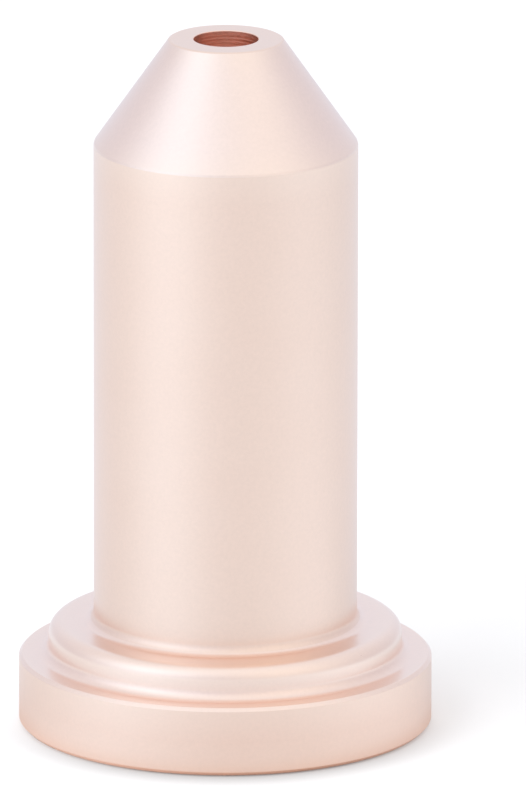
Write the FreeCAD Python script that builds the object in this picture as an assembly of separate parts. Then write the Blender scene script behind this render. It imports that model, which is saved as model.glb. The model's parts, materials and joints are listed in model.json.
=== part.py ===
import FreeCAD, Part
import math
import os
from collections import namedtuple

# Plasma torch nozzle: one piece, turned from round copper bar.
# It stands on its seat, with the axis on Z and the nose up. The origin is the centre of the seat.
# From the seat up it has a clamping flange, a locating step, a plain barrel and a conical nose.
# From the nose down it is bored right through: exit bore, throat, and the gas chamber that
# the electrode stands in. Every surface is a surface of revolution about Z.
# All lengths are in millimetres and all angles in degrees.

# Outside
overall_length = 27.2
flange_dia = 16.0
flange_thickness = 2.7
step_dia = 13.7
step_height = 1.3
barrel_dia = 10.2
nose_angle = 70.0  # included angle of the cone
nose_face_dia = 4.4

# Bore
exit_bore_dia = 2.5
exit_bore_depth = 1.8
exit_floor_angle = 118.0  # included angle left by the drill point
throat_dia = 1.6
throat_length = 1.3
barrel_wall = 1.5
chamber_floor_angle = 90.0  # included angle of the cone that leads into the throat

# Corners and edges
turning_radius = 0.4  # nose radius of the turning tool, left in both outside corners
step_edge_radius = 0.55
flange_edge_chamfer = 0.13
seat_edge_chamfer = 0.15
edge_break = 0.05  # light bevel along the nose's edges, where the tool leaves a burr
throat_edge_radius = 0.25
chamber_corner_radius = 0.4
mouth_chamfer = 0.5

# A corner of the turned section: its distance from the axis, its height, and how it is cut.
Corner = namedtuple("Corner", "radius height cut size")
SHARP = "sharp"
ROUND = "round"
BEVEL = "bevel"

LONGEST_TRIM = 0.45  # share of a straight side that one corner may take up


def cone_height(inner_dia, outer_dia, included_angle):
    """Height over which a cone of that included angle opens from one diameter to the other."""
    return (outer_dia - inner_dia) / 2 / math.tan(math.radians(included_angle) / 2)


def outside_corners():
    """The section's outer side, from the seat's rim up to the rim of the nose face."""
    flange_top = flange_thickness
    step_top = flange_top + step_height
    shoulder = overall_length - cone_height(nose_face_dia, barrel_dia, nose_angle)
    return [
        Corner(flange_dia / 2, 0, BEVEL, seat_edge_chamfer),
        Corner(flange_dia / 2, flange_top, BEVEL, flange_edge_chamfer),
        Corner(step_dia / 2, flange_top, ROUND, turning_radius),
        Corner(step_dia / 2, step_top, ROUND, step_edge_radius),
        Corner(barrel_dia / 2, step_top, ROUND, turning_radius),
        Corner(barrel_dia / 2, shoulder, BEVEL, edge_break),
        Corner(nose_face_dia / 2, overall_length, BEVEL, edge_break),
    ]


def bore_corners():
    """The section's inner side, from the rim of the exit bore down to the chamber's mouth."""
    chamber_dia = barrel_dia - 2 * barrel_wall
    exit_floor = overall_length - exit_bore_depth
    throat_top = exit_floor - cone_height(throat_dia, exit_bore_dia, exit_floor_angle)
    throat_bottom = throat_top - throat_length
    chamber_top = throat_bottom - cone_height(throat_dia, chamber_dia, chamber_floor_angle)
    return [
        Corner(exit_bore_dia / 2, overall_length, BEVEL, edge_break),
        Corner(exit_bore_dia / 2, exit_floor, SHARP, 0),
        Corner(throat_dia / 2, throat_top, SHARP, 0),
        Corner(throat_dia / 2, throat_bottom, ROUND, throat_edge_radius),
        Corner(chamber_dia / 2, chamber_top, ROUND, chamber_corner_radius),
        Corner(chamber_dia / 2, 0, BEVEL, mouth_chamfer),
    ]


def cut_corner(before, corner, after):
    """The points that one corner leaves in the section: one, two for a bevel, or three for an arc."""
    at = FreeCAD.Vector(corner.radius, 0, corner.height)
    back = FreeCAD.Vector(before.radius, 0, before.height) - at
    ahead = FreeCAD.Vector(after.radius, 0, after.height) - at
    if corner.cut == SHARP:
        return [at]
    half_angle = back.getAngle(ahead) / 2
    trim = corner.size / math.tan(half_angle) if corner.cut == ROUND else corner.size
    trim = min(trim, LONGEST_TRIM * back.Length, LONGEST_TRIM * ahead.Length)
    back.normalize()
    ahead.normalize()
    start = at + back * trim
    end = at + ahead * trim
    if corner.cut == BEVEL:
        return [start, end]
    towards_centre = (back + ahead).normalize()
    arc_radius = trim * math.tan(half_angle)
    middle = at + towards_centre * (arc_radius / math.sin(half_angle) - arc_radius)
    return [start, middle, end]


def section_wire(corners):
    """A closed wire through the corners, each cut as it says, with straight lines between them."""
    cuts = [
        cut_corner(corners[i - 1], corners[i], corners[(i + 1) % len(corners)])
        for i in range(len(corners))
    ]
    edges = []
    for i, points in enumerate(cuts):
        if len(points) == 3:
            edges.append(Part.Arc(*points).toShape())
        elif len(points) == 2:
            edges.append(Part.LineSegment(*points).toShape())
        edges.append(Part.LineSegment(points[-1], cuts[(i + 1) % len(cuts)][0]).toShape())
    return Part.Wire(edges)


def turned_nozzle():
    """The whole nozzle: its half section turned once about the axis."""
    half_section = Part.Face(section_wire(outside_corners() + bore_corners()))
    return half_section.revolve(FreeCAD.Vector(0, 0, 0), FreeCAD.Vector(0, 0, 1), 360)


os.makedirs("parts", exist_ok=True)
nozzle = turned_nozzle()
nozzle.exportStep("parts/nozzle.step")
print("nozzle: valid %s, volume %.2f mm3" % (nozzle.isValid(), nozzle.Volume))
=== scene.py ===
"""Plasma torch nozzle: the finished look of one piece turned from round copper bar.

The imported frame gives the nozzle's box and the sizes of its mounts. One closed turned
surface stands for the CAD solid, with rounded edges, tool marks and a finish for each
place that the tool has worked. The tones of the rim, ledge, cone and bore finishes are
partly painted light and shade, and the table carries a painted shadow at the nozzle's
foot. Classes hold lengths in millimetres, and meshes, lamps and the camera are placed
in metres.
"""

import json
import logging
import math
from dataclasses import dataclass, field
from enum import Enum

import bpy
import numpy as np
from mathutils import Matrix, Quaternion, Vector


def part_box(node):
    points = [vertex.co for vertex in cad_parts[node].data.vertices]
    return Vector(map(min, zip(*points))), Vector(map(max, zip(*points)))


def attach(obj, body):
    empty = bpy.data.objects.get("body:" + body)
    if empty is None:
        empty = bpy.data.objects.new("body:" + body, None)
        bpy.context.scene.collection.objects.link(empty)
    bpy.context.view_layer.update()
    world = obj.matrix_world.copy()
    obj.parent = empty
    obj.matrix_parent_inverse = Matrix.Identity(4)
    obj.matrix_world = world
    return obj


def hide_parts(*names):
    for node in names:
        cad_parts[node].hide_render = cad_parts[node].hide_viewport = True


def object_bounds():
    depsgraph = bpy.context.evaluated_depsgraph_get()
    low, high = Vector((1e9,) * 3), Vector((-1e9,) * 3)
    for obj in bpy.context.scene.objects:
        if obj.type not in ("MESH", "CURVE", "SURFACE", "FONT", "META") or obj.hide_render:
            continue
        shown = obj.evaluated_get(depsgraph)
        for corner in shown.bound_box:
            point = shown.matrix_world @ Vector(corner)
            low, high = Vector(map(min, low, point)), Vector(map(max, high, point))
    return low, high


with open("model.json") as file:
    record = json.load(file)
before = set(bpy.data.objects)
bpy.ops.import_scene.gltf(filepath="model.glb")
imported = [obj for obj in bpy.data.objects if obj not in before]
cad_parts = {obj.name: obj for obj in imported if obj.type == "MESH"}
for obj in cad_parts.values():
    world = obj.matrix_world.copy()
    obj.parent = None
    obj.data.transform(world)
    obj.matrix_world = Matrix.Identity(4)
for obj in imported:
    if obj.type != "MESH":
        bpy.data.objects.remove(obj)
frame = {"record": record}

CAD_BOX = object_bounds()
MM = 0.001
SECTION_MAP = "turned_section"
EDGE_ATTRIBUTE = "edge_nearness"

Colour = tuple[float, float, float]
Point = tuple[float, float, float]

log = logging.getLogger("nozzle")


class Finish(Enum):
    """The places that the tool has worked, each with a finish of its own; some finishes also carry
    painted light in their tones.
    """

    SEAT = "seat"
    RIM = "rim"
    LEDGE = "ledge"
    BARREL = "barrel"
    CONE = "cone"
    NOSE_FACE = "nose_face"
    BORE = "bore"


class Wall(Enum):
    """How the wall that leads on from a corner is shaped along its length."""

    PLAIN = "plain"
    RINGED = "ringed"


# ---------------------------------------------------------------- the turned section


@dataclass(frozen=True)
class Corner:
    """A corner of the turned section, and the wall that leads on from it.

    Attributes:
        radius: distance from the axis, in mm.
        height: height above the seat, in mm.
        finish: finish of the wall from here to the next corner.
        rounding: radius of the arc that replaces the corner, in mm.
        bevel: length cut off both walls before the two new corners are rounded, in mm.
        wall: shape of the wall from here to the next corner.
    """

    radius: float
    height: float
    finish: Finish
    rounding: float = 0.02
    bevel: float = 0.0
    wall: Wall = Wall.PLAIN

    def at(self) -> np.ndarray:
        """The corner as a point of the half plane: distance from the axis, height."""
        return np.array([self.radius, self.height])


@dataclass
class Flange:
    """The clamping flange that the retaining cup holds against the seat."""

    radius: float
    top: float
    seat_bevel: float = 0.15
    edge_bevel: float = 0.13

    def corners(self) -> list[Corner]:
        """The flange's rim, from the seat's edge up to the ledge."""
        return [
            Corner(self.radius, 0.0, Finish.RIM, bevel=self.seat_bevel),
            Corner(self.radius, self.top, Finish.LEDGE, bevel=self.edge_bevel),
        ]


@dataclass
class LocatingStep:
    """The step that centres the retaining cup's lip above the flange."""

    foot: float
    radius: float = 6.85
    height: float = 1.3
    corner_radius: float = 0.4
    edge_radius: float = 0.55

    def top(self) -> float:
        """Height of the step's top face above the seat, in mm."""
        return self.foot + self.height

    def corners(self) -> list[Corner]:
        """The step, from the corner in the flange's ledge up to its rounded edge."""
        return [
            Corner(self.radius, self.foot, Finish.LEDGE, self.corner_radius),
            Corner(self.radius, self.top(), Finish.LEDGE, self.edge_radius),
        ]


@dataclass
class Barrel:
    """The long plain wall between the step and the nose."""

    radius: float
    foot: float
    corner_radius: float = 0.4

    def corners(self) -> list[Corner]:
        """The corner that the barrel makes with the step; its wall leads up from there."""
        return [Corner(self.radius, self.foot, Finish.BARREL, self.corner_radius)]


@dataclass
class Nose:
    """The cone and the small flat face at its end."""

    barrel_radius: float
    tip: float
    face_radius: float = 2.2
    half_angle: float = 35.0
    edge_break: float = 0.05

    def shoulder(self) -> float:
        """Height at which the cone begins: the tip less its reach over tan of its half angle."""
        reach = self.barrel_radius - self.face_radius
        return self.tip - reach / math.tan(math.radians(self.half_angle))

    def corners(self) -> list[Corner]:
        """The shoulder and the rim of the nose face."""
        return [
            Corner(self.barrel_radius, self.shoulder(), Finish.CONE, bevel=self.edge_break),
            Corner(self.face_radius, self.tip, Finish.NOSE_FACE, bevel=self.edge_break),
        ]


@dataclass
class Bore:
    """The passage through the nozzle: exit bore, throat and gas chamber."""

    tip: float
    exit_radius: float
    chamber_radius: float
    exit_depth: float = 1.8
    exit_floor_angle: float = 118.0
    throat_radius: float = 0.8
    throat_length: float = 1.3
    chamber_floor_angle: float = 90.0
    throat_rounding: float = 0.25
    chamber_rounding: float = 0.4
    mouth_bevel: float = 0.5
    rim_break: float = 0.02
    rim_rounding: float = 0.01

    @staticmethod
    def cone_rise(inner: float, outer: float, included: float) -> float:
        """Rise of a cone between two radii: their difference over tan of half its included angle."""
        return (outer - inner) / math.tan(math.radians(included) / 2)

    def corners(self) -> list[Corner]:
        """The bore, from the rim of its exit down to the mouth of the chamber."""
        exit_floor = self.tip - self.exit_depth
        throat_top = exit_floor - self.cone_rise(
            self.throat_radius, self.exit_radius, self.exit_floor_angle
        )
        throat_foot = throat_top - self.throat_length
        chamber_top = throat_foot - self.cone_rise(
            self.throat_radius, self.chamber_radius, self.chamber_floor_angle
        )
        bore = Finish.BORE
        return [
            Corner(
                self.exit_radius, self.tip, bore, self.rim_rounding, self.rim_break, Wall.RINGED
            ),
            Corner(self.exit_radius, exit_floor, bore),
            Corner(self.throat_radius, throat_top, bore),
            Corner(self.throat_radius, throat_foot, bore, self.throat_rounding),
            Corner(self.chamber_radius, chamber_top, bore, self.chamber_rounding),
            Corner(self.chamber_radius, 0.0, Finish.SEAT, bevel=self.mouth_bevel),
        ]


@dataclass
class SectionLine:
    """The closed outline of the section, ready to turn about the axis.

    Attributes:
        points: one row per point, distance from the axis and height, in mm.
        along: distance of each point along the outline, in mm, with the whole length last.
        finishes: finish of the stretch from each point to the next.
        nearness: 1 at an outside edge, falling to 0 a short way from it.
    """

    points: np.ndarray
    along: np.ndarray
    finishes: list[Finish]
    nearness: np.ndarray


@dataclass
class SectionPlotter:
    """Turns a ring of corners into a finely divided outline.

    Attributes:
        arc_step: largest turn between two points of an arc, in degrees.
        wall_step: largest distance between two points of a plain wall, in mm.
        guard: distance from an arc's end to the next point, which keeps the shading of
            the wall flat up to its edge, in mm.
        ring_pitch: distance between two rings of a ringed wall, in mm.
        ring_depth: depth of those rings, in mm.
        ring_points: points across one ring.
        ring_fade: how quickly the rings begin and end along their wall.
        wear_width: how far from an outside edge the handling wear reaches, in mm.
    """

    arc_step: float = 9.0
    wall_step: float = 1.2
    guard: float = 0.015
    ring_pitch: float = 0.15
    ring_depth: float = 0.006
    ring_points: int = 8
    ring_fade: float = 8.0
    wear_width: float = 0.3

    @staticmethod
    def unit(vector: np.ndarray) -> np.ndarray:
        """The vector at length 1."""
        return vector / np.linalg.norm(vector)

    def bevelled(self, corners: list[Corner]) -> list[Corner]:
        """Replaces each bevelled corner by the two corners that its bevel leaves.

        Args:
            corners: the ring of corners as designed.

        Returns:
            The ring with no bevels left. A new corner lies on each of the two walls, at
            the bevel's length from the old one.
        """
        ring = []
        for i, corner in enumerate(corners):
            if corner.bevel == 0.0:
                ring.append(corner)
                continue
            here = corner.at()
            back = here + corner.bevel * self.unit(corners[i - 1].at() - here)
            ahead = here + corner.bevel * self.unit(corners[(i + 1) % len(corners)].at() - here)
            ring.append(Corner(back[0], back[1], corner.finish, corner.rounding))
            ring.append(
                Corner(ahead[0], ahead[1], corner.finish, corner.rounding, wall=corner.wall)
            )
        return ring

    def arc(self, before: Corner, corner: Corner, after: Corner) -> np.ndarray:
        """Points of the arc that rounds a corner.

        The arc touches both walls at radius / tan(half the corner's angle) from the
        corner. Its centre lies on the bisector, and its points turn evenly from one
        touching point to the other.

        Args:
            before: the corner before.
            corner: the corner to round.
            after: the corner after.

        Returns:
            One row per point, in mm.
        """
        here = corner.at()
        back = self.unit(before.at() - here)
        ahead = self.unit(after.at() - here)
        half = math.acos(float(np.clip(back @ ahead, -1, 1))) / 2
        centre = here + corner.rounding / math.sin(half) * self.unit(back + ahead)
        start = here + corner.rounding / math.tan(half) * back - centre
        turn = math.pi - 2 * half
        sign = math.copysign(1.0, float(back[1] * ahead[0] - back[0] * ahead[1]))
        count = max(3, math.ceil(math.degrees(turn) / self.arc_step) + 1)
        angle = sign * np.linspace(0, turn, count)
        swung = np.stack(
            [
                start[0] * np.cos(angle) - start[1] * np.sin(angle),
                start[0] * np.sin(angle) + start[1] * np.cos(angle),
            ],
            axis=1,
        )
        return centre + swung

    def wall(self, start: np.ndarray, end: np.ndarray, shape: Wall) -> np.ndarray:
        """Points of the straight wall between two arcs, without its two ends.

        A plain wall has a guard point near each end and evenly spaced points between. A
        ringed wall follows depth * (1 - cos(turns)) / 2, away from the bore, faded in
        and out at its ends.

        Args:
            start: the last point of the arc before.
            end: the first point of the arc after.
            shape: how the wall is shaped.

        Returns:
            One row per point, in mm.
        """
        length = float(np.linalg.norm(end - start))
        direction = self.unit(end - start)
        guard = min(self.guard, length / 4)
        if shape is Wall.PLAIN:
            count = max(2, math.ceil((length - 2 * guard) / self.wall_step) + 1)
            distance = np.linspace(guard, length - guard, count)
            return start + distance[:, None] * direction
        rings = round(length / self.ring_pitch)
        distance = np.linspace(guard, length - guard, rings * self.ring_points + 1)
        share = (distance - guard) / (length - 2 * guard)
        fade = np.clip(self.ring_fade * share * (1 - share), 0, 1)
        depth = self.ring_depth * fade * (1 - np.cos(2 * math.pi * rings * share)) / 2
        outwards = np.array([-direction[1], direction[0]])
        return start + distance[:, None] * direction + depth[:, None] * outwards

    def plot(self, corners: list[Corner]) -> SectionLine:
        """Divides the ring of corners into the outline.

        Args:
            corners: the corners in order, the outside first and then the bore.

        Returns:
            The closed outline.
        """
        ring = self.bevelled(corners)
        count = len(ring)
        arcs = [self.arc(ring[i - 1], ring[i], ring[(i + 1) % count]) for i in range(count)]
        parts, finishes, edges = [], [], []
        for i, corner in enumerate(ring):
            arc = arcs[i]
            wall = self.wall(arc[-1], arcs[(i + 1) % count][0], corner.wall)
            parts += [arc, wall]
            finishes += [ring[i - 1].finish] * (len(arc) // 2)
            finishes += [corner.finish] * (len(arc) - len(arc) // 2 + len(wall))
            before, here, after = ring[i - 1].at(), corner.at(), ring[(i + 1) % count].at()
            turn = (here - before)[0] * (after - here)[1] - (here - before)[1] * (after - here)[0]
            edges += [turn > 0] * len(arc) + [False] * len(wall)
        points = np.concatenate(parts)
        steps = np.linalg.norm(np.roll(points, -1, axis=0) - points, axis=1)
        along = np.concatenate([[0.0], np.cumsum(steps)])
        at_edges = along[:-1][np.array(edges)]
        distance = np.abs(along[:-1, None] - at_edges[None, :]).min(axis=1)
        nearness = np.clip(1 - distance / self.wear_width, 0, 1) ** 2
        return SectionLine(points, along, finishes, nearness)


@dataclass
class Nozzle:
    """The whole nozzle: its sections in order, turned once about the axis.

    Attributes:
        sectors: faces round the axis.
        plotter: divides the section's outline.
    """

    flange: Flange
    step: LocatingStep
    barrel: Barrel
    nose: Nose
    bore: Bore
    sectors: int = 288
    plotter: SectionPlotter = field(default_factory=SectionPlotter)

    @classmethod
    def from_frame(cls, record: dict) -> "Nozzle":
        """Takes the sizes that the frame states, and leaves the rest as the classes have them.

        Args:
            record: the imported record, whose mounts carry the fitting sizes.

        Returns:
            The nozzle, ready to build.
        """
        mounts = {mount["name"]: mount for mount in record["mounts"]}
        _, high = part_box("nozzle")
        tip = round(high.z / MM, 4)
        flange_top = mounts["clamp_ledge"]["pos_m"][2] / MM
        step = LocatingStep(foot=flange_top)
        barrel_radius = mounts["barrel"]["dims"]["r_mm"]
        return cls(
            flange=Flange(radius=mounts["flange_rim"]["dims"]["r_mm"], top=flange_top),
            step=step,
            barrel=Barrel(radius=barrel_radius, foot=step.top()),
            nose=Nose(barrel_radius=barrel_radius, tip=tip),
            bore=Bore(
                tip=tip,
                exit_radius=mounts["exit_bore"]["dims"]["r_mm"],
                chamber_radius=mounts["gas_chamber"]["dims"]["r_mm"],
            ),
        )

    def section(self) -> SectionLine:
        """The outline of every part of the nozzle in one closed ring."""
        parts = (self.flange, self.step, self.barrel, self.nose, self.bore)
        return self.plotter.plot([corner for part in parts for corner in part.corners()])

    def surface(self, line: SectionLine) -> bpy.types.Mesh:
        """Turns the outline about the axis into a closed mesh.

        Point (i, j) of the grid is outline point i turned by j sectors: (radius * cos,
        radius * sin, height). Each face joins points i and i + 1 of sectors j and j + 1,
        and both directions close on themselves, so the surface has no seam or pole.

        Args:
            line: the closed outline.

        Returns:
            The mesh in metres, with the section map and the edge attribute.
        """
        count = len(line.points)
        turn = 2 * math.pi * np.arange(self.sectors) / self.sectors
        radius, height = line.points[:, 0] * MM, line.points[:, 1] * MM
        grid = np.stack(
            [
                radius[:, None] * np.cos(turn),
                radius[:, None] * np.sin(turn),
                np.repeat(height[:, None], self.sectors, axis=1),
            ],
            axis=2,
        )
        i, j = np.meshgrid(np.arange(count), np.arange(self.sectors), indexing="ij")
        along_next, turn_next = (i + 1) % count, (j + 1) % self.sectors
        index = [
            i * self.sectors + j,
            i * self.sectors + turn_next,
            along_next * self.sectors + turn_next,
            along_next * self.sectors + j,
        ]
        faces = np.stack(index, axis=2).reshape(-1, 4)
        mesh = bpy.data.meshes.new("turned_nozzle")
        mesh.from_pydata(grid.reshape(-1, 3), [], faces)
        mesh.polygons.foreach_set("use_smooth", np.ones(len(faces), dtype=bool))
        order = list(Finish)
        slots = np.array([order.index(finish) for finish in line.finishes], dtype=np.int32)
        mesh.polygons.foreach_set("material_index", np.repeat(slots, self.sectors))
        share = np.stack([j, j + 1, j + 1, j], axis=2) / self.sectors
        along = line.along[np.stack([i, i, i + 1, i + 1], axis=2)]
        layer = mesh.uv_layers.new(name=SECTION_MAP)
        layer.uv.foreach_set("vector", np.stack([share, along], axis=3).astype(np.float32).ravel())
        edge = mesh.attributes.new(EDGE_ATTRIBUTE, "FLOAT", "POINT")
        edge.data.foreach_set("value", np.repeat(line.nearness, self.sectors).astype(np.float32))
        mesh.validate()
        mesh.update()
        return mesh

    def build(self, finishes: dict[Finish, bpy.types.Material]) -> bpy.types.Object:
        """Makes the piece, dresses it and puts it in the place of the CAD node.

        Args:
            finishes: the material for each place that the tool has worked.

        Returns:
            The finished piece.
        """
        line = self.section()
        mesh = self.surface(line)
        for finish in Finish:
            mesh.materials.append(finishes[finish])
        piece = bpy.data.objects.new("turned_nozzle", mesh)
        bpy.context.scene.collection.objects.link(piece)
        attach(piece, "root")
        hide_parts("nozzle")
        log.info("turned_nozzle: %d outline points, %d faces", len(line.points), len(mesh.polygons))
        return piece


# ---------------------------------------------------------------- copper finishes


class Wiring:
    """A node tree with short calls to add and join its nodes."""

    def __init__(self, tree: bpy.types.NodeTree) -> None:
        """Takes the tree to work on.

        Args:
            tree: a material's, a world's or a group's node tree.
        """
        self.tree = tree

    def add(self, kind: str, settings: dict | None = None, **inputs: object) -> bpy.types.Node:
        """Adds a node, sets it up and joins or fills its inputs.

        Args:
            kind: the node's type name, without its leading "ShaderNode".
            settings: the node's own properties.
            **inputs: values or output sockets, by input name with spaces as underscores,
                or by number as "in0", "in1".

        Returns:
            The new node.
        """
        node = self.tree.nodes.new("ShaderNode" + kind)
        for name, value in (settings or {}).items():
            setattr(node, name, value)
        for name, value in inputs.items():
            key = int(name[2:]) if name[:2] == "in" and name[2:].isdigit() else name.replace("_", " ")
            socket = node.inputs[key]
            if isinstance(value, bpy.types.NodeSocket):
                self.tree.links.new(value, socket)
            else:
                socket.default_value = value
        return node

    def math(self, operation: str, *values: object) -> bpy.types.NodeSocket:
        """Adds a Math node and returns its result."""
        inputs = {f"in{i}": value for i, value in enumerate(values)}
        return self.add("Math", {"operation": operation}, **inputs).outputs[0]

    def blend(self, factor: object, first: object, second: object) -> bpy.types.NodeSocket:
        """Mixes two colours and returns the result."""
        node = self.add("Mix", {"data_type": "RGBA"}, in0=factor, in6=first, in7=second)
        return node.outputs[2]


def new_group(name: str, inputs: dict[str, tuple[str, object]], outputs: dict[str, str]) -> Wiring:
    """Starts a shader node group with named inputs and outputs.

    Args:
        name: the group's name.
        inputs: socket kind and starting value by input name.
        outputs: socket kind by output name.

    Returns:
        The wiring of the group, with its Group Input and Group Output nodes in place.
    """
    tree = bpy.data.node_groups.new(name, "ShaderNodeTree")
    for label, (kind, value) in inputs.items():
        socket = tree.interface.new_socket(label, in_out="INPUT", socket_type=kind)
        if value is not None:
            socket.default_value = value
    for label, kind in outputs.items():
        tree.interface.new_socket(label, in_out="OUTPUT", socket_type=kind)
    tree.nodes.new("NodeGroupInput")
    tree.nodes.new("NodeGroupOutput")
    return Wiring(tree)


@dataclass(frozen=True)
class CopperEffects:
    """The node groups that every copper finish shares."""

    lines: bpy.types.NodeTree
    grain: bpy.types.NodeTree
    tone: bpy.types.NodeTree

    @classmethod
    def build(cls) -> "CopperEffects":
        """Makes the three groups once."""
        return cls(cls.turning_lines(), cls.satin_grain(), cls.copper_tone())

    @staticmethod
    def turning_lines() -> bpy.types.NodeTree:
        """The spiral that the tool's feed leaves.

        The tool moves on by one pitch in each turn, so the phase is the distance along
        the section over the pitch, plus the share of a turn. A round-nosed tool leaves
        a parabola in each pitch: (2 * phase - 1) squared. Each line has a depth of its
        own, drawn from its number.
        """
        wiring = new_group(
            "turning_lines",
            {
                "Turn": ("NodeSocketFloat", 0.0),
                "Along": ("NodeSocketFloat", 0.0),
                "Pitch": ("NodeSocketFloat", 0.08),
                "Unevenness": ("NodeSocketFloat", 0.5),
            },
            {"Height": "NodeSocketFloat"},
        )
        entry, leave = wiring.tree.nodes["Group Input"], wiring.tree.nodes["Group Output"]
        turns = wiring.math("DIVIDE", entry.outputs["Along"], entry.outputs["Pitch"])
        phase = wiring.math("ADD", turns, entry.outputs["Turn"])
        within = wiring.math("MULTIPLY_ADD", wiring.math("FRACT", phase), 2.0, -1.0)
        cusp = wiring.math("MULTIPLY", within, within)
        number = wiring.math("FLOOR", phase)
        drawn = wiring.add("TexWhiteNoise", {"noise_dimensions": "1D"}, W=number).outputs["Value"]
        cut = wiring.math("MULTIPLY", drawn, entry.outputs["Unevenness"])
        depth = wiring.math("SUBTRACT", 1.0, cut)
        wiring.tree.links.new(wiring.math("MULTIPLY", cusp, depth), leave.inputs["Height"])
        return wiring.tree

    @staticmethod
    def satin_grain() -> bpy.types.NodeTree:
        """The fine even grain of a tumbled surface: one noise, and another a third of its size."""
        wiring = new_group(
            "satin_grain",
            {
                "Position": ("NodeSocketVector", None),
                "Size": ("NodeSocketFloat", 0.15),
            },
            {"Height": "NodeSocketFloat"},
        )
        entry, leave = wiring.tree.nodes["Group Input"], wiring.tree.nodes["Group Output"]
        scale = wiring.math("DIVIDE", 1.0, entry.outputs["Size"])
        coarse = wiring.add(
            "TexNoise", Vector=entry.outputs["Position"], Scale=scale, Detail=1.0, Roughness=0.5
        ).outputs["Fac"]
        fine = wiring.add(
            "TexNoise",
            Vector=entry.outputs["Position"],
            Scale=wiring.math("MULTIPLY", scale, 3.0),
            Detail=1.0,
            Roughness=0.6,
        ).outputs["Fac"]
        both = wiring.math("ADD", coarse, wiring.math("MULTIPLY", fine, 0.5))
        wiring.tree.links.new(wiring.math("DIVIDE", both, 1.5), leave.inputs["Height"])
        return wiring.tree

    @staticmethod
    def copper_tone() -> bpy.types.NodeTree:
        """The colour of bare copper that has begun to dull.

        The clean tone turns to the dulled one in soft patches, the grain lightens and
        darkens it a little, and handled edges show the bright tone.
        """
        wiring = new_group(
            "copper_tone",
            {
                "Position": ("NodeSocketVector", None),
                "Clean": ("NodeSocketColor", (0.9, 0.7, 0.6, 1)),
                "Dulled": ("NodeSocketColor", (0.85, 0.6, 0.5, 1)),
                "Bright": ("NodeSocketColor", (0.95, 0.8, 0.7, 1)),
                "Patch Size": ("NodeSocketFloat", 3.0),
                "Dulling": ("NodeSocketFloat", 0.3),
                "Grain": ("NodeSocketFloat", 0.5),
                "Mottling": ("NodeSocketFloat", 0.2),
                "Edge": ("NodeSocketFloat", 0.0),
            },
            {"Color": "NodeSocketColor"},
        )
        entry, leave = wiring.tree.nodes["Group Input"], wiring.tree.nodes["Group Output"]
        patches = wiring.add(
            "TexNoise",
            Vector=entry.outputs["Position"],
            Scale=wiring.math("DIVIDE", 1.0, entry.outputs["Patch Size"]),
            Detail=2.0,
            Roughness=0.5,
        ).outputs["Fac"]
        dulled = wiring.blend(
            wiring.math("MULTIPLY", patches, entry.outputs["Dulling"]),
            entry.outputs["Clean"],
            entry.outputs["Dulled"],
        )
        centred = wiring.math("SUBTRACT", entry.outputs["Grain"], 0.5)
        mottle = wiring.math("MULTIPLY_ADD", centred, entry.outputs["Mottling"], 1.0)
        grained = wiring.add("VectorMath", {"operation": "SCALE"}, in0=dulled, Scale=mottle)
        worn = wiring.blend(entry.outputs["Edge"], grained.outputs[0], entry.outputs["Bright"])
        wiring.tree.links.new(worn, leave.inputs["Color"])
        return wiring.tree


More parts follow.
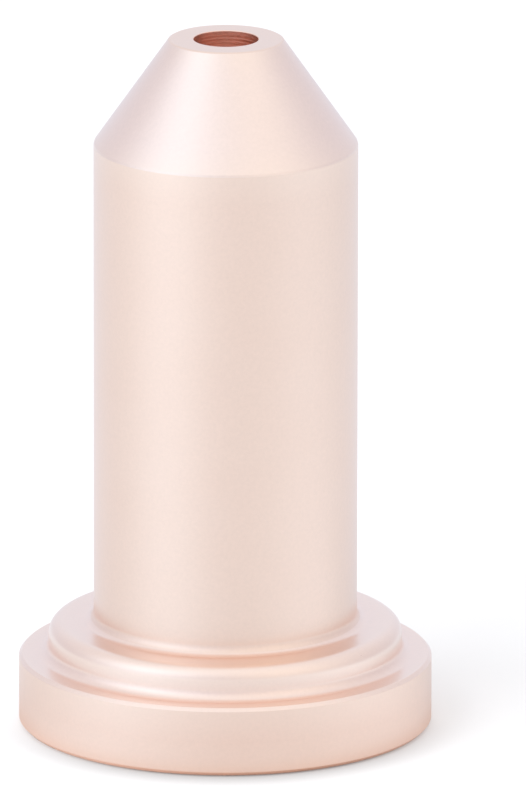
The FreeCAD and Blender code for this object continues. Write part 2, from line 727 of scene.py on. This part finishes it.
@dataclass(frozen=True)
class CopperFinish:
    """Bare copper as one tool has left it; in some finishes the tone is also painted light or shade.

    Attributes:
        name: the material's name.
        clean: colour of the fresh surface, linear.
        dulled: colour of the surface where it has begun to dull, linear.
        bright: colour of handled edges, linear.
        roughness: how far reflections are blurred.
        roughness_spread: how much the grain changes the roughness.
        line_pitch: feed of the tool in each turn, in mm.
        line_depth: height of the cusps between two lines, in mm.
        line_unevenness: how much the depth of the lines differs.
        grain_size: size of the grain, in mm.
        grain_depth: height of the grain, in mm.
        mottling: how much the grain changes the colour.
        dulling: how much of the surface shows the dulled tone.
        patch_size: size of the dulled patches, in mm.
        edge_wear: how much of the bright tone handled edges show.
    """

    name: str
    clean: Colour = (0.90, 0.715, 0.62)
    dulled: Colour = (0.86, 0.64, 0.53)
    bright: Colour = (0.96, 0.80, 0.70)
    roughness: float = 0.34
    roughness_spread: float = 0.10
    line_pitch: float = 0.08
    line_depth: float = 0.0004
    line_unevenness: float = 0.6
    grain_size: float = 0.14
    grain_depth: float = 0.0012
    mottling: float = 0.10
    dulling: float = 0.25
    patch_size: float = 2.5
    edge_wear: float = 0.35

    def build(self, effects: CopperEffects) -> bpy.types.Material:
        """Makes the material.

        Args:
            effects: the shared node groups.

        Returns:
            The material, with its colour, roughness and bump worked out from the
            object's coordinates, the section map and the edge attribute.
        """
        material = bpy.data.materials.new(self.name)
        material.use_nodes = True
        tree = material.node_tree
        tree.nodes.clear()
        wiring = Wiring(tree)
        place = wiring.add("TexCoord").outputs["Object"]
        position = wiring.add(
            "VectorMath", {"operation": "SCALE"}, in0=place, Scale=1 / MM
        ).outputs[0]
        section = wiring.add("UVMap", {"uv_map": SECTION_MAP}).outputs["UV"]
        split = wiring.add("SeparateXYZ", Vector=section)
        edge = wiring.add("Attribute", {"attribute_name": EDGE_ATTRIBUTE}).outputs["Fac"]
        lines = wiring.add(
            "Group",
            {"node_tree": effects.lines},
            Turn=split.outputs["X"],
            Along=split.outputs["Y"],
            Pitch=self.line_pitch,
            Unevenness=self.line_unevenness,
        )
        grain = wiring.add(
            "Group", {"node_tree": effects.grain}, Position=position, Size=self.grain_size
        ).outputs["Height"]
        tone = wiring.add(
            "Group",
            {"node_tree": effects.tone},
            Position=position,
            Clean=(*self.clean, 1),
            Dulled=(*self.dulled, 1),
            Bright=(*self.bright, 1),
            Patch_Size=self.patch_size,
            Dulling=self.dulling,
            Grain=grain,
            Mottling=self.mottling,
            Edge=wiring.math("MULTIPLY", edge, self.edge_wear),
        )
        low = self.roughness - self.roughness_spread / 2
        roughness = wiring.math("MULTIPLY_ADD", grain, self.roughness_spread, low)
        relief = wiring.math(
            "MULTIPLY_ADD",
            lines.outputs["Height"],
            self.line_depth,
            wiring.math("MULTIPLY", grain, self.grain_depth),
        )
        bump = wiring.add("Bump", Strength=1.0, Distance=MM, Height=relief)
        shader = wiring.add(
            "BsdfPrincipled",
            Metallic=1.0,
            Base_Color=tone.outputs["Color"],
            Roughness=roughness,
            Normal=bump.outputs["Normal"],
        )
        wiring.add("OutputMaterial", Surface=shader.outputs[0])
        log.info("finish %s", self.name)
        return material


FINISHES: dict[Finish, CopperFinish] = {
    Finish.SEAT: CopperFinish("copper_faced_seat"),
    # Painted light and shade: the rim gets a darker, more orange copy of the copper, for the
    # copper-coloured light and shade near the table.
    Finish.RIM: CopperFinish(
        "copper_turned_rim_painted_shade", clean=(0.90, 0.69, 0.59), dulled=(0.86, 0.60, 0.49)
    ),
    # Painted light: the ledges get a paler copy of the copper, which brightens the barrel's
    # reflections in them.
    Finish.LEDGE: CopperFinish(
        "copper_turned_ledge_painted_light",
        clean=(0.94, 0.76, 0.68),
        dulled=(0.91, 0.71, 0.61),
        roughness=0.3,
        grain_depth=0.0006,
    ),
    Finish.BARREL: CopperFinish("copper_turned_barrel"),
    # Painted light: the cone gets a paler copy of the copper because it faces the brighter light
    # above.
    Finish.CONE: CopperFinish(
        "copper_turned_cone_painted_light",
        clean=(0.93, 0.78, 0.72),
        dulled=(0.90, 0.74, 0.66),
        grain_depth=0.0006,
    ),
    Finish.NOSE_FACE: CopperFinish("copper_faced_nose", grain_depth=0.0006),
    # Painted shade and reflection: the bore gets a deeper red copy of the copper, for the shade inside
    # it and the copper's reflections of itself there.
    Finish.BORE: CopperFinish(
        "copper_drilled_bore_painted_shade",
        clean=(0.96, 0.61, 0.50),
        dulled=(0.92, 0.52, 0.40),
        grain_depth=0.0006,
        line_pitch=0.15,
        line_depth=0.002,
    ),
}


# ---------------------------------------------------------------- studio


def heading(azimuth: float, elevation: float) -> Vector:
    """The unit vector towards a place round the nozzle.

    Args:
        azimuth: angle round the nozzle in degrees, 0 in front and 90 to the left.
        elevation: angle above the table, in degrees.

    Returns:
        The vector, with the front along -Y and the left along -X.
    """
    turn, rise = math.radians(azimuth), math.radians(elevation)
    level = math.cos(rise)
    return Vector((-math.sin(turn) * level, -math.cos(turn) * level, math.sin(rise)))


@dataclass(frozen=True)
class Panel:
    """A soft patch of light, brightest in its middle and fading all round.

    Attributes:
        azimuth: where its middle is, in degrees, 0 in front and 90 to the left.
        elevation: how high its middle is, in degrees.
        sharpness: how fast it fades.
        colour: what its middle adds, linear.
    """

    azimuth: float
    elevation: float
    sharpness: float
    colour: Colour

    def add_to(
        self, wiring: Wiring, direction: bpy.types.NodeSocket, light: bpy.types.NodeSocket
    ) -> bpy.types.NodeSocket:
        """Adds the panel's colour times (cosine to its middle) to the power of its sharpness.

        Args:
            wiring: the tree to work in.
            direction: unit vector of the direction looked at.
            light: the colour so far.

        Returns:
            The colour with the panel's light added.
        """
        middle = heading(self.azimuth, self.elevation)
        dot = wiring.add("VectorMath", {"operation": "DOT_PRODUCT"}, in0=direction, in1=middle)
        cosine = wiring.math("MAXIMUM", dot.outputs["Value"], 0.0)
        weight = wiring.math("POWER", cosine, self.sharpness)
        own = wiring.add("VectorMath", {"operation": "SCALE"}, in0=self.colour, Scale=weight)
        return wiring.add(
            "VectorMath", {"operation": "ADD"}, in0=light, in1=own.outputs[0]
        ).outputs[0]


@dataclass
class Floor:
    """The pale table top that the nozzle stands on.

    Attributes:
        half_side: half of the table's side, in metres.
        paint: the table's own colour, which takes the light and the shadow.
        gap: how far the table top lies below the seat, in metres, so that their faces part.
        glow: even brightness that the camera sees over the paint.
        painted_sheen: painted light that reflections see over the paint, linear.
        painted_bounce: painted bounce light, the copper's colour that reflections see on the table
            near it, linear.
        painted_shadow_reach: how far the painted shadow at the foot reaches, in metres.
        painted_shadow_depth: how much of the light the painted shadow at the foot takes, most in
            front.
        least_sky: share of the sky that counts where a wall hides half of it or more.
        painted_bounce_reach: how far the painted bounce of the copper's colour reaches over the table,
            in metres.
        panels: painted light that each side of the table adds to the painted sheen.
    """

    half_side: float = 0.6
    gap: float = 0.00002
    paint: float = 0.70
    glow: float = 0.27
    painted_sheen: Colour = (0.07, 0.09, 0.10)
    painted_bounce: Colour = (0.90, 0.54, 0.36)
    painted_shadow_reach: float = 0.0016
    painted_shadow_depth: float = 0.78
    least_sky: float = 0.42
    painted_bounce_reach: float = 0.0025
    panels: tuple[Panel, ...] = (
        Panel(50.0, 0.0, 6.0, (0.14, 0.19, 0.23)),
        Panel(-75.0, 0.0, 4.0, (0.13, 0.16, 0.19)),
        Panel(180.0, 0.0, 2.0, (0.03, 0.08, 0.17)),
    )

    def build(self) -> bpy.types.Object:
        """Makes the table top, just below the seat."""
        side, top = self.half_side, -self.gap
        mesh = bpy.data.meshes.new("table_top")
        corners = [(-side, -side, top), (side, -side, top), (side, side, top), (-side, side, top)]
        mesh.from_pydata(corners, [], [(0, 1, 2, 3)])
        mesh.materials.append(self.material())
        floor = bpy.data.objects.new("table_top", mesh)
        bpy.context.scene.collection.objects.link(floor)
        log.info("table_top")
        return floor

    def material(self) -> bpy.types.Material:
        """White paint: a matt surface that keeps the shadow, with an even glow over it for the camera
        and painted light over it in reflections.

        Near the nozzle both carry painted shade, by the share of the sky that the nozzle hides: a
        painted soft shadow at the foot, deepest in front, and in reflections a painted bounce of the
        copper's own colour.
        """
        material = bpy.data.materials.new("table_white")
        material.use_nodes = True
        material.node_tree.nodes.clear()
        wiring = Wiring(material.node_tree)
        ray = wiring.add("LightPath").outputs
        straight = wiring.math("MAXIMUM", ray["Is Camera Ray"], ray["Is Transmission Ray"])
        # Painted shade: ambient occlusion darkens the paint and the glow near the nozzle, to a painted
        # shadow at the foot for the camera and a painted copper bounce in reflections.
        stretch = self.painted_shadow_reach - self.painted_bounce_reach
        reach = wiring.math("MULTIPLY_ADD", straight, stretch, self.painted_bounce_reach)
        sky = wiring.add("AmbientOcclusion", {"samples": 16}, Distance=reach).outputs["AO"]
        sky = wiring.math("MAXIMUM", sky, self.least_sky)
        place = wiring.add("NewGeometry").outputs["Position"]
        outwards = wiring.add("VectorMath", {"operation": "NORMALIZE"}, in0=place).outputs[0]
        # The painted shadow is deepest in front of the nozzle.
        front = wiring.add("VectorMath", {"operation": "DOT_PRODUCT"}, in0=outwards, in1=heading(0, 0))
        depth = wiring.math("MAXIMUM", front.outputs["Value"], 0.0)
        depth = wiring.math("MULTIPLY", depth, self.painted_shadow_depth)
        foot = wiring.blend(depth, (1, 1, 1, 1), (0, 0, 0, 1))
        painted_shade_and_bounce = wiring.blend(straight, (*self.painted_bounce, 1), foot)
        shade = wiring.blend(sky, painted_shade_and_bounce, (1, 1, 1, 1))
        # Painted light: reflections see the table glow over its paint, brighter on some sides, most on
        # the lamp's side.
        painted_sheen = wiring.add("CombineXYZ", in0=self.painted_sheen[0], in1=self.painted_sheen[1], in2=self.painted_sheen[2])
        light = painted_sheen.outputs[0]
        for panel in self.panels:
            light = panel.add_to(wiring, outwards, light)
        painted_mirror_light = wiring.add(
            "VectorMath", {"operation": "SCALE"}, in0=light, Scale=ray["Is Glossy Ray"]
        ).outputs[0]
        shown = wiring.blend(straight, painted_mirror_light, (self.glow, self.glow, self.glow, 1))
        paint = wiring.add("VectorMath", {"operation": "SCALE"}, in0=shade, Scale=self.paint)
        paint = wiring.add("BsdfDiffuse", Color=paint.outputs[0])
        glow = wiring.add("VectorMath", {"operation": "MULTIPLY"}, in0=shown, in1=shade)
        glow = wiring.add("Emission", Color=glow.outputs[0], Strength=1.0)
        both = wiring.add("AddShader", in0=paint.outputs[0], in1=glow.outputs[0])
        wiring.add("OutputMaterial", Surface=both.outputs[0])
        return material


@dataclass
class Tent:
    """The white light tent round the table, as the world's light.

    Attributes:
        cloth: colour of the tent where no panel lights it, linear.
        panels: the soft panels that light the tent.
    """

    cloth: Colour = (0.765, 0.745, 0.80)
    panels: tuple[Panel, ...] = (
        Panel(0.0, 90.0, 2.0, (0.24, 0.265, 0.23)),
        Panel(56.0, 26.0, 5.0, (0.43, 0.57, 0.66)),
        Panel(-45.0, 25.0, 4.0, (0.24, 0.23, 0.155)),
        Panel(180.0, 5.0, 4.0, (0.09, 0.165, 0.235)),
    )

    def build(self) -> bpy.types.World:
        """Makes the world: white behind the object, and the tent's soft light elsewhere."""
        world = bpy.data.worlds.new("light_tent")
        world.use_nodes = True
        world.node_tree.nodes.clear()
        wiring = Wiring(world.node_tree)
        direction = wiring.add("TexCoord").outputs["Generated"]
        cloth = wiring.add("CombineXYZ", in0=self.cloth[0], in1=self.cloth[1], in2=self.cloth[2])
        light = cloth.outputs[0]
        for panel in self.panels:
            light = panel.add_to(wiring, direction, light)
        ray = wiring.add("LightPath").outputs
        straight = wiring.math("MAXIMUM", ray["Is Camera Ray"], ray["Is Transmission Ray"])
        colour = wiring.blend(straight, light, (1, 1, 1, 1))
        background = wiring.add("Background", Color=colour, Strength=1.0)
        wiring.add("OutputWorld", Surface=background.outputs[0])
        bpy.context.scene.world = world
        log.info("light_tent")
        return world


@dataclass(frozen=True)
class Softbox:
    """A soft lamp that faces the nozzle.

    It lights the table and throws the shadow. Reflections don't show it: the metal mirrors
    the tent's panels instead.

    Attributes:
        name: the lamp's name.
        azimuth: where it stands round the nozzle, in degrees, 0 in front and 90 to the left.
        elevation: how high it stands, in degrees above the table.
        distance: distance from the nozzle, in metres.
        width: width of its face, in metres.
        height: height of its face, in metres.
        radiance: brightness of its face, where 1 is white.
        colour: tint of its light, linear.
    """

    name: str
    azimuth: float
    elevation: float
    distance: float
    width: float
    height: float
    radiance: float
    colour: Colour = (1.0, 1.0, 1.0)

    def build(self, target: Vector) -> bpy.types.Object:
        """Places the lamp and turns it to face the target.

        The power of an area lamp is its radiance times pi times its area.

        Args:
            target: the point that the lamp faces, in metres.

        Returns:
            The lamp.
        """
        lamp = bpy.data.lights.new(self.name, "AREA")
        lamp.shape = "RECTANGLE"
        lamp.size = self.width
        lamp.size_y = self.height
        lamp.energy = self.radiance * math.pi * self.width * self.height
        lamp.color = self.colour
        towards = heading(self.azimuth, self.elevation)
        holder = bpy.data.objects.new(self.name, lamp)
        holder.location = target + self.distance * towards
        holder.rotation_euler = (-towards).to_track_quat("-Z", "Y").to_euler()
        holder.visible_camera = False
        holder.visible_glossy = False
        bpy.context.scene.collection.objects.link(holder)
        log.info("lamp %s", self.name)
        return holder


@dataclass(frozen=True)
class LongLens:
    """The camera: a long lens a good way off, looking a little down.

    Attributes:
        focal_length: focal length on a 36 mm sensor, in mm.
        distance: distance from the standpoint, in metres.
        elevation: height of the view above the table, in degrees.
        roll: turn of the camera about its line of sight, in degrees.
        standpoint: the point that the distance and elevation are measured from, in metres.
        aim: the point in the middle of the frame, in metres.
    """

    focal_length: float = 845.3
    distance: float = 0.7254
    elevation: float = 15.36
    roll: float = 0.1
    standpoint: Point = (0.0, 0.0, 0.014)
    aim: Point = (0.001444, -0.000308, 0.012879)

    def build(self) -> bpy.types.Object:
        """Makes the camera and gives it to the scene."""
        lens = bpy.data.cameras.new("long_lens")
        lens.lens = self.focal_length
        lens.sensor_width = 36.0
        lens.clip_start = 0.01
        lens.clip_end = 10.0
        camera = bpy.data.objects.new("long_lens", lens)
        camera.location = Vector(self.standpoint) + self.distance * heading(0, self.elevation)
        sight = Vector(self.aim) - camera.location
        camera.rotation_mode = "QUATERNION"
        turned = Quaternion((0, 0, 1), math.radians(self.roll))
        camera.rotation_quaternion = sight.to_track_quat("-Z", "Y") @ turned
        bpy.context.scene.collection.objects.link(camera)
        bpy.context.scene.camera = camera
        log.info("camera")
        return camera


@dataclass
class Studio:
    """The table, the light tent, the soft lamps and the camera."""

    floor: Floor = field(default_factory=Floor)
    tent: Tent = field(default_factory=Tent)
    lens: LongLens = field(default_factory=LongLens)
    lamps: tuple[Softbox, ...] = (
        Softbox(
            name="key_softbox",
            azimuth=52.0,
            elevation=42.0,
            distance=0.40,
            width=0.36,
            height=0.12,
            radiance=4.4,
        ),
    )

    def build(self) -> None:
        """Sets the studio up round the nozzle."""
        scene = bpy.context.scene
        scene.view_settings.view_transform = "Standard"
        self.floor.build()
        self.tent.build()
        low, high = CAD_BOX
        for lamp in self.lamps:
            lamp.build((low + high) / 2)
        self.lens.build()


def main() -> None:
    """Builds the nozzle and the studio in order, and reports each step."""
    logging.basicConfig(level=logging.INFO, format="%(name)s: %(message)s")
    effects = CopperEffects.build()
    materials = {place: finish.build(effects) for place, finish in FINISHES.items()}
    Nozzle.from_frame(frame["record"]).build(materials)
    Studio().build()


if __name__ == "__main__":
    main()
